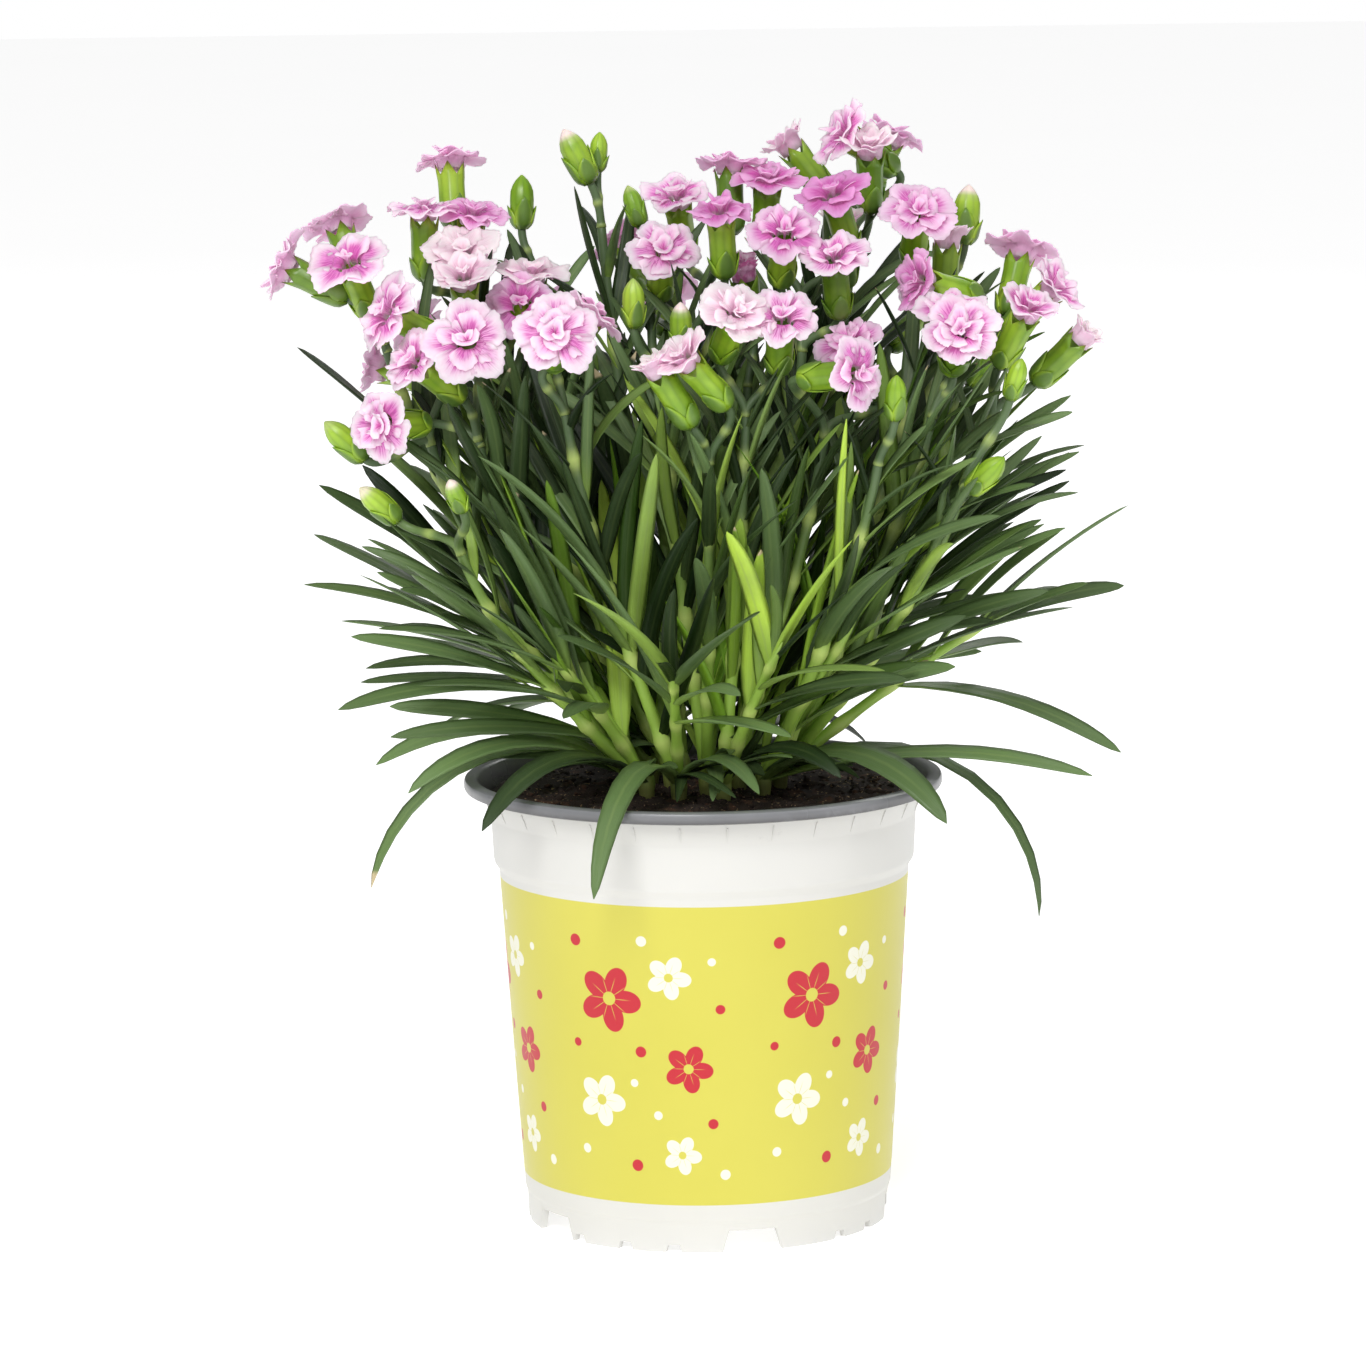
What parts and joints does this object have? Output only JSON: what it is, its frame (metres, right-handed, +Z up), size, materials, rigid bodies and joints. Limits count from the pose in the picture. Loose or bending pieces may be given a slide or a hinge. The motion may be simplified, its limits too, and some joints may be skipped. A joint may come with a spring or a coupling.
{
  "type": "potted dianthus plant",
  "caption": "Bushy dianthus with narrow leaves and small double pink flowers, in a round white plastic pot of soil.",
  "frame": {"origin": "on the pot's axis, in the plane that its feet stand on", "axes": "+Z up along the pot's axis; -Y towards the plant's fuller side with the open flowers; +X to the right of it"},
  "size_m": [0.2166, 0.16, 0.2793],
  "materials": {
    "pot": "satin",
    "soil": "matte",
    "foliage": "satin",
    "petals": "matte"
  },
  "bodies": {
    "root": {"pot": "pot", "soil": "soil", "bloom_05_06": "petals", "bloom_12_15": "petals", "bloom_10_11": "petals", "bloom_24_25": "petals", "bloom_26_29": "petals", "bloom_32_33": "petals", "bloom_42_43": "petals", "bloom_46_47": "petals", "bloom_48_49": "petals", "bloom_01": "petals", "bloom_02": "petals", "bloom_03": "petals", "bloom_04": "petals", "bloom_07": "petals", "bloom_08": "petals", "bloom_09": "petals", "bloom_13": "petals", "bloom_14": "petals", "bloom_16": "petals", "bloom_18": "petals", "bloom_20": "petals", "bloom_21": "petals", "bloom_22": "petals", "bloom_23": "petals", "bloom_27": "petals", "bloom_28": "petals", "bloom_30": "petals", "bloom_31": "petals", "bloom_34": "petals", "bloom_35": "petals", "bloom_36": "petals", "bloom_37": "petals", "bloom_38": "petals", "bloom_39": "petals", "bloom_40": "petals", "bloom_41": "petals", "bloom_44": "petals", "bloom_45": "petals", "bloom_51": "petals", "bloom_52": "petals", "bloom_54": "petals", "bloom_55": "petals", "shoot_01": "foliage", "shoot_02": "foliage", "shoot_03": "foliage", "shoot_04": "foliage", "shoot_05": "foliage", "shoot_06": "foliage", "shoot_07": "foliage", "shoot_08": "foliage", "shoot_09": "foliage", "shoot_10": "foliage", "shoot_11": "foliage", "shoot_12": "foliage", "shoot_13": "foliage", "shoot_14": "foliage", "shoot_15": "foliage", "shoot_16": "foliage"}
  },
  "joints": []
}
